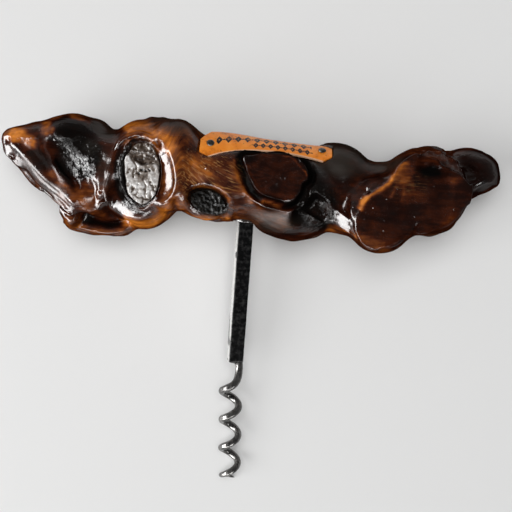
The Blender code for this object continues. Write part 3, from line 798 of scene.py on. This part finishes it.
def build_iron(surface):
    """Evens out the wire's facets, and gives the bar a slightly hammered face and a left side painted bright,
    a painted highlight.
    """
    mesh, points, near = fine_copy("corkscrew_iron", 0.24)
    wire = ease(WORM_TOP + 2, WORM_TOP, points[:, 1])
    points = smoothed(points, near, 14, 0.12 + 0.38 * wire)
    hammered = 0.05 * layered(points, (3, 5, 3), 2, 301) + 0.03 * noise(points, 0.9, 303)
    exposed = ease(-18, -21, points[:, 1])
    points = points + normals_at(mesh, points) * (hammered * exposed)[:, None]
    points[:, 2] = np.maximum(points[:, 2], 0)
    worn = wire * (0.78 + 0.25 * noise(points, 3.5, 302))
    # The bar's left-facing side is painted near-white steel: a painted highlight of the light from the left.
    facing_left = ease(-0.75, -0.90, normals_at(mesh, points)[:, 0])
    painted_left_glare = (1 - wire) * facing_left * ease(-0.75, -0.35, noise(points, 4, 304))
    # The worn mask also takes the bar's painted highlight, so that side turns to bright metal.
    set_attribute(mesh, "worn", np.clip(worn + painted_left_glare, 0, 1))
    set_attribute(mesh, "painted_left_glare", painted_left_glare)
    show("iron", mesh, surface, "corkscrew_iron")


def build_pitch(surface):
    """The pitch, lumpy on its outside only, so that it keeps clear of the bar."""
    mesh, points, _ = fine_copy("pitch_bead", 0.24, 8)
    outer = ease(3.4, 4.2, np.hypot(points[:, 0] - BAR_X, points[:, 2] - BAR_HEIGHT))
    points = points + normals_at(mesh, points) * (0.22 * outer * crumbled(points, 1.8, 401))[:, None]
    set_points(mesh, points)
    show("pitch", mesh, surface, "pitch_bead")


def build_nail(node, surface):
    mesh, points, _ = fine_copy(node, 0.11, 14, 0.45)
    points = points + normals_at(mesh, points) * (0.04 * noise(points, 0.6, 501))[:, None]
    set_points(mesh, points)
    show(node + "_fine", mesh, surface, node)


# The strip's bend at its left end, middle and right end, as in the CAD: the way it faces in degrees from +Z
# towards +Y, its radius, and the place and height of the axis it bends round.
STRIP_ENDS = (-17.9, 28.2)
STRIP_FACING = (31, 64, 53)
STRIP_RADIUS = (16.5, 14.1, 13.6)
STRIP_AXIS_Y = (0.2, -0.5, -1.0)
STRIP_AXIS_Z = 20.5


def between(values, share):
    """The quadratic through three values, at share 0, 0.5 and 1."""
    left, middle, right = values
    ends = left * (1 - share) * (1 - 2 * share) + right * share * (2 * share - 1)
    return ends + middle * 4 * share * (1 - share)


def build_plaque(surface):
    """A finely divided copy of the strip that knows how far along and across it every point is."""
    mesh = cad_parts["name_plaque"].data.copy()
    bm = bmesh.new()
    bm.from_mesh(mesh)
    for size in (0.9, 0.45):
        long_edges = [edge for edge in bm.edges if edge.calc_length() > size * MM]
        bmesh.ops.subdivide_edges(bm, edges=long_edges, cuts=1)
    bmesh.ops.triangulate(bm, faces=bm.faces)
    bm.to_mesh(mesh)
    bm.free()
    points = points_of(mesh)
    share = (points[:, 0] - STRIP_ENDS[0]) / (STRIP_ENDS[1] - STRIP_ENDS[0])
    y = points[:, 1] - between(STRIP_AXIS_Y, share)
    z = points[:, 2] - STRIP_AXIS_Z
    across = (np.arctan2(y, z) - np.radians(between(STRIP_FACING, share))) * between(STRIP_RADIUS, share)
    set_attribute(mesh, "along", points[:, 0])
    set_attribute(mesh, "across", across)
    show("copper_strip", mesh, surface, "name_plaque")


# --- materials ---
class Shader:
    """A material's or world's nodes as short calls, which return the output socket of the node they add."""

    def __init__(self, name, world=None):
        self.material = world or bpy.data.materials.new(name)
        self.material.use_nodes = True
        self.tree = self.material.node_tree
        self.surface = self.tree.nodes["Background" if world else "Principled BSDF"]

    def add(self, kind, inputs=None, output=0, **settings):
        made = self.tree.nodes.new("ShaderNode" + kind)
        for key, value in settings.items():
            setattr(made, key, value)
        for key, value in (inputs or {}).items():
            self.feed(made.inputs[key], value)
        return made.outputs[output]

    def feed(self, socket, value):
        if isinstance(value, bpy.types.NodeSocket):
            self.tree.links.new(value, socket)
        else:
            socket.default_value = value

    def set(self, **values):
        for key, value in values.items():
            self.feed(self.surface.inputs[key.replace("_", " ")], value)

    def attribute(self, name, output="Fac"):
        return self.add("Attribute", output=output, attribute_name=name)

    def math(self, operation, a, b=0.0, c=0.0, clamp=False):
        return self.add("Math", {0: a, 1: b, 2: c}, operation=operation, use_clamp=clamp)

    def times(self, a, b, clamp=False):
        return self.math("MULTIPLY", a, b, clamp=clamp)

    def remap(self, value, low, high, to_low=0.0, to_high=1.0):
        given = {"Value": value, "From Min": low, "From Max": high, "To Min": to_low, "To Max": to_high}
        return self.add("MapRange", given)

    def noise(self, scale, detail=3.0, vector=None, roughness=0.55):
        place = vector or self.add("TexCoord", output="Object")
        given = {"Vector": place, "Scale": scale, "Detail": detail, "Roughness": roughness}
        return self.add("TexNoise", given)

    def stretched(self, vector, scale):
        return self.add("Mapping", {"Vector": vector, "Scale": scale})

    def ramp(self, value, stops):
        made = self.tree.nodes.new("ShaderNodeValToRGB")
        elements = made.color_ramp.elements
        while len(elements) < len(stops):
            elements.new(0.5)
        for element, (position, colour) in zip(elements, stops):
            element.position = position
            element.color = (*colour, 1.0)
        self.feed(made.inputs["Fac"], value)
        return made.outputs["Color"]

    def mix(self, share, a, b):
        made = self.tree.nodes.new("ShaderNodeMix")
        made.data_type = "RGBA"
        for key, value in ((0, share), (6, a), (7, b)):
            if isinstance(value, tuple):
                value = (*value, 1.0)
            self.feed(made.inputs[key], value)
        return made.outputs[2]

    def bump(self, height, strength, distance, normal=None):
        given = {"Height": height, "Strength": strength, "Distance": distance}
        if normal:
            given["Normal"] = normal
        return self.add("Bump", given)


# The wood's colour by its tone, from black-brown to amber.
WOOD_TONES = [
    (0.0, (0.0025, 0.002, 0.0018)),
    (0.2, (0.013, 0.0034, 0.0020)),
    (0.4, (0.052, 0.0110, 0.0036)),
    (0.6, (0.160, 0.042, 0.0085)),
    (0.8, (0.370, 0.105, 0.012)),
    (1.0, (0.680, 0.225, 0.032)),
]


def varnished_wood():
    """Wood streaked along its grain, blackened on bark and, as painted shade, in the knot holes and a
    crevice, with a grey-brown painted sheen on soft-varnished patches, under varnish that is glassy, soft or
    dull where the handle says.
    """
    s = Shader("varnished_vine_root")
    tone, bark = s.attribute("tone"), s.attribute("bark")
    fibre, satin_and_sheen = s.attribute("fibre"), s.attribute("satin_and_sheen")
    grain = s.attribute("grain", "Vector")
    cloud = s.noise(190.0, 5.0)
    streak = s.noise(1.0, 4.0, s.stretched(grain, (90.0, 620.0, 620.0)))
    hair = s.noise(1.0, 2.0, s.stretched(grain, (170.0, 1500.0, 1500.0)))
    depth = s.remap(tone, 0.0, 0.5, 0.15, 1.0)
    change = s.math("ADD", s.remap(cloud, 0.25, 0.75, -0.20, 0.20), s.remap(streak, 0.3, 0.7, -0.13, 0.13))
    colour = s.ramp(s.math("MULTIPLY_ADD", change, depth, tone), WOOD_TONES)
    gold = s.times(s.remap(hair, 0.54, 0.68), fibre, clamp=True)
    colour = s.mix(s.times(gold, 0.7), colour, (0.40, 0.19, 0.06))
    # Near black on bark, and as painted shade on the knot holes' walls and the crevice beside the big knot.
    char_and_crevice_shade = s.times(bark, s.remap(s.noise(420.0, 3.0), 0.35, 0.62, 1.0, 0.75), clamp=True)
    colour = s.mix(char_and_crevice_shade, colour, (0.006, 0.005, 0.0045))
    # A grey-brown painted sheen, mixed into the colour where the varnish is soft.
    painted_sheen = s.times(satin_and_sheen, s.remap(s.noise(70.0, 3.0), 0.3, 0.7, 0.4, 0.8), clamp=True)
    colour = s.mix(painted_sheen, colour, (0.026, 0.021, 0.016))
    fine = s.bump(hair, s.remap(fibre, 0, 1, 0.05, 0.2), 0.0002)
    dimples = s.bump(s.noise(330.0, 2.0), s.remap(satin_and_sheen, 0, 1, 0.16, 0.03), 0.0012, fine)
    pores = s.bump(s.noise(900.0, 2.0), 0.05, 0.0010, dimples)
    pores = s.bump(s.noise(480.0, 3.0, roughness=0.65), s.times(bark, 0.55), 0.0016, pores)
    cells = s.add("TexVoronoi", {"Vector": s.add("TexCoord", output="Object"), "Scale": 330.0})
    pimple = s.remap(cells, 0.0, 0.16, 1, 0)
    varnish = s.bump(pimple, s.remap(satin_and_sheen, 0, 1, 0.6, 0.0), 0.0003, pores)
    s.set(Base_Color=colour, Roughness=0.5, Specular_IOR_Level=0.0, Normal=fine)
    turned_away = s.remap(s.add("LayerWeight", {"Blend": 0.5}, output=1), 0.34, 0.60, 1.0, 0.0)
    scaly = s.times(bark, s.remap(s.noise(260.0, 3.0), 0.45, 0.58, 0.78, 0.0), clamp=True)
    even = s.times(s.remap(satin_and_sheen, 0, 1, 1.0, 0.8), s.remap(s.attribute("dull"), 0, 1, 1.0, 0.012))
    even = s.times(even, s.math("SUBTRACT", 1.0, scaly))
    s.set(Coat_Weight=s.times(turned_away, even), Coat_IOR=1.55)
    glossy = s.remap(s.noise(240.0, 3.0), 0.3, 0.7, 0.13, 0.24)
    glossy = s.math("MULTIPLY_ADD", bark, -0.06, s.math("MULTIPLY_ADD", satin_and_sheen, 0.3, glossy))
    s.set(Coat_Roughness=glossy, Coat_Normal=varnish)
    return s.material


def dead_wood():
    s = Shader("dead_grey_wood")
    shade = s.attribute("shade")
    speck = s.noise(900.0, 4.0)
    value = s.math("ADD", shade, s.remap(speck, 0.3, 0.7, -0.16, 0.16))
    stops = [
        (0.0, (0.006, 0.005, 0.0045)),
        (0.3, (0.055, 0.034, 0.022)),
        (0.5, (0.16, 0.125, 0.10)),
        (0.75, (0.38, 0.35, 0.33)),
        (1.0, (0.70, 0.69, 0.68)),
    ]
    normal = s.bump(speck, 0.6, 0.0004)
    s.set(Base_Color=s.ramp(value, stops), Roughness=0.5, Normal=normal, Coat_Weight=0.7, Coat_Roughness=0.16)
    s.set(Coat_Normal=normal)
    return s.material


def charred_wood():
    s = Shader("charred_wood")
    crumb = s.noise(800.0, 4.0)
    stops = [(0.35, (0.003, 0.0027, 0.0025)), (0.6, (0.006, 0.005, 0.004)), (0.75, (0.02, 0.015, 0.012))]
    colour = s.ramp(crumb, stops)
    normal = s.bump(crumb, 0.8, 0.0006)
    shine = s.remap(s.attribute("shine"), 0, 1, 0.05, 0.5)
    s.set(Base_Color=colour, Roughness=0.6, Specular_IOR_Level=0.1, Normal=normal)
    s.set(Coat_Weight=shine, Coat_Roughness=0.08, Coat_Normal=normal)
    return s.material


def blackened_iron():
    """Black oxide, down to grey steel where the attribute worn is 1, and near-white where the bar's left side
    carries a painted highlight.
    """
    s = Shader("blackened_iron")
    worn = s.attribute("worn")
    place = s.add("TexCoord", output="Object")
    grit = s.noise(650.0, 5.0, place)
    drag = s.noise(1.0, 3.0, s.stretched(place, (1500.0, 60.0, 1500.0)))
    oxide = s.ramp(grit, [(0.3, (0.002, 0.002, 0.002)), (0.7, (0.006, 0.006, 0.0065))])
    steel = s.ramp(drag, [(0.3, (0.10, 0.098, 0.095)), (0.7, (0.27, 0.262, 0.254))])
    # Painted highlight: near-white steel on the bar's left side.
    steel = s.mix(s.attribute("painted_left_glare"), steel, (0.88, 0.87, 0.85))
    share = s.math("ADD", worn, s.remap(grit, 0.35, 0.65, -0.10, 0.10), clamp=True)
    s.set(Base_Color=s.mix(share, oxide, steel), Metallic=s.remap(share, 0, 1, 0.0, 1.0))
    s.set(Roughness=s.remap(share, 0, 1, 0.26, 0.22), Specular_IOR_Level=0.15)
    s.set(Normal=s.bump(grit, s.remap(share, 0, 1, 0.2, 0.12), 0.0002))
    return s.material


def tarnished_steel():
    s = Shader("tarnished_steel")
    spots = s.noise(900.0, 4.0)
    stops = [(0.3, (0.035, 0.035, 0.032)), (0.6, (0.13, 0.13, 0.12)), (0.8, (0.26, 0.25, 0.23))]
    colour = s.ramp(spots, stops)
    s.set(Base_Color=colour, Metallic=0.9, Roughness=s.remap(spots, 0.3, 0.7, 0.25, 0.45))
    s.set(Normal=s.bump(spots, 0.3, 0.0002))
    return s.material


def lozenge_row(s, along, across, middle, pitch, size, reach):
    """A mask: a row of open lozenges with a dot between each two; reach is where it starts and ends."""
    away = s.math("SUBTRACT", across, middle)

    def local(shift):
        turns = s.math("MULTIPLY_ADD", along, 1 / pitch, shift)
        return s.times(s.math("SUBTRACT", s.math("FRACT", turns), 0.5), pitch)

    wide, high = size
    sideways = s.math("ABSOLUTE", s.math("DIVIDE", local(0.0), wide))
    lozenge = s.math("ADD", sideways, s.math("ABSOLUTE", s.math("DIVIDE", away, high)))
    outline = s.times(s.math("LESS_THAN", lozenge, 1.0), s.math("GREATER_THAN", lozenge, 0.14))
    x, y = local(0.5), away
    radius = s.math("SQRT", s.math("ADD", s.times(x, x), s.times(y, y)))
    dot = s.math("LESS_THAN", radius, 0.24 * pitch / 2)
    started = s.math("GREATER_THAN", along, reach[0])
    running = s.math("LESS_THAN", along, reach[1])
    return s.times(s.math("MAXIMUM", outline, dot), s.times(started, running))


def lacquered_copper():
    """Bright copper under old lacquer, browned in blots, with two black rows of lozenges and dots."""
    s = Shader("lacquered_copper")
    along, across = s.attribute("along"), s.attribute("across")
    upper = lozenge_row(s, along, across, 0.1, 3.3, (1.3, 2.1), (-12.4, 21.0))
    lower = lozenge_row(s, along, across, -3.4, 2.6, (1.05, 1.5), (0.2, 21.4))
    worn = s.remap(s.noise(520.0, 3.0), 0.30, 0.46, 0.6, 1.0)
    ink = s.times(s.math("MAXIMUM", upper, lower), worn, clamp=True)
    blots = s.noise(230.0, 5.0)
    spots = s.noise(700.0, 3.0)
    stops = [(0.30, (0.50, 0.13, 0.010)), (0.44, (0.86, 0.25, 0.022)), (0.7, (0.95, 0.33, 0.045))]
    colour = s.ramp(blots, stops)
    colour = s.mix(s.remap(spots, 0.62, 0.74, 0.0, 0.7), colour, (0.16, 0.05, 0.015))
    colour = s.mix(ink, colour, (0.010, 0.007, 0.006))
    edge = s.remap(s.math("ABSOLUTE", across), 5.45, 5.85)
    colour = s.mix(s.times(edge, 0.7, clamp=True), colour, (0.90, 0.66, 0.48))
    s.set(Base_Color=colour, Roughness=0.5, Specular_IOR_Level=0.2)
    s.set(Normal=s.bump(ink, 0.25, -0.0001), Coat_Weight=0.3, Coat_Roughness=0.2)
    return s.material


def hard_pitch():
    s = Shader("hard_pitch")
    lumps = s.noise(500.0, 3.0)
    colour = s.ramp(lumps, [(0.3, (0.004, 0.003, 0.002)), (0.8, (0.03, 0.013, 0.007))])
    s.set(Base_Color=colour, Roughness=0.3)
    s.set(Normal=s.bump(lumps, 0.4, 0.0004), Coat_Weight=0.9, Coat_Roughness=0.1)
    return s.material


# --- the room ---
def add_camera():
    data = bpy.data.cameras.new("camera")
    data.lens, data.sensor_width = CAMERA_LENS, SENSOR
    camera = bpy.data.objects.new("camera", data)
    camera.location = Vector(EYE) * MM
    camera.rotation_euler = (0, 0, math.radians(CAMERA_ROLL_DEG))
    data.clip_start, data.clip_end = 0.01, 20.0
    bpy.context.scene.collection.objects.link(camera)
    bpy.context.scene.camera = camera


def area_light(name, azimuth_deg, elevation_deg, distance, size, radiance, diffuse=True, glossy=True):
    """A rectangular lamp aimed at the object from so far round and up; distance and size are in metres."""
    azimuth, elevation = math.radians(azimuth_deg), math.radians(elevation_deg)
    flat = math.cos(elevation)
    place = Vector((flat * math.cos(azimuth), flat * math.sin(azimuth), math.sin(elevation))) * distance
    data = bpy.data.lights.new(name, "AREA")
    data.shape, data.size, data.size_y = "RECTANGLE", size[0], size[1]
    data.energy = radiance * math.pi * size[0] * size[1]
    light = bpy.data.objects.new(name, data)
    light.location = place
    light.rotation_euler = place.to_track_quat("Z", "Y").to_euler()
    light.visible_diffuse, light.visible_glossy = diffuse, glossy
    bpy.context.scene.collection.objects.link(light)


def add_table():
    bpy.ops.mesh.primitive_plane_add(size=TABLE_SIZE, location=(0, 0, 0))
    table = bpy.context.object
    table.name = "table_top"
    s = Shader("pale_table")
    s.set(Base_Color=(0.80, 0.80, 0.797, 1), Roughness=0.6, Specular_IOR_Level=0.2)
    table.data.materials.append(s.material)


AMBIENT = 0.15  # the even light that a pale room throws on things
OVERHEAD, WALLS, BACK_WALL = 0.02, 0.12, 0.12  # what the varnish mirrors
BACKDROP = 0.75  # what a camera sees beyond the table


def add_world():
    """A pale room, mirrored dark overhead, lighter low down, and lightest at the back wall, at +Y."""
    bpy.context.scene.world = bpy.data.worlds.new("room")
    s = Shader("room", bpy.context.scene.world)
    direction = s.add("TexCoord", output="Generated")
    y, z = (s.add("SeparateXYZ", {0: direction}, output=axis) for axis in "YZ")
    low = s.math("POWER", s.math("SUBTRACT", 1.0, z), 1.6)
    back = s.times(s.math("MAXIMUM", y, 0.0), low)
    mirrored = s.math("MULTIPLY_ADD", low, WALLS, s.math("MULTIPLY_ADD", back, BACK_WALL, OVERHEAD))
    is_glossy, is_camera = (s.add("LightPath", output=f"Is {kind} Ray") for kind in ("Glossy", "Camera"))
    strength = s.math("MULTIPLY_ADD", s.math("SUBTRACT", mirrored, AMBIENT), is_glossy, AMBIENT)
    strength = s.math("MULTIPLY_ADD", is_camera, BACKDROP - AMBIENT, strength)
    s.set(Strength=strength, Color=(1, 1, 0.99, 1))


# --- build ---
bpy.context.scene.view_settings.view_transform = "Standard"
add_world()
add_table()
add_camera()
area_light("window", 200, 24, 1.0, (1.25, 0.50), 19.0, diffuse=False)
area_light("window_spill", 206, 40, 1.5, (1.1, 1.1), 3.0, glossy=False)
area_light("ceiling", 110, 83, 1.5, (0.9, 0.9), 4.9, glossy=False)
area_light("lower_window", 254, 23, 1.1, (1.05, 0.24), 12.5, diffuse=False)
area_light("right_window", 300, 32, 1.2, (0.42, 0.36), 12.0, diffuse=False)

build_handle(varnished_wood())
build_dead_branch(dead_wood())
build_small_knot(charred_wood())
build_iron(blackened_iron())
build_pitch(hard_pitch())
build_plaque(lacquered_copper())
steel = tarnished_steel()
for nail in ("plaque_nail_left", "plaque_nail_right"):
    build_nail(nail, steel)
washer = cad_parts["rivet_washer"].data
washer.materials.clear()
washer.materials.append(steel)
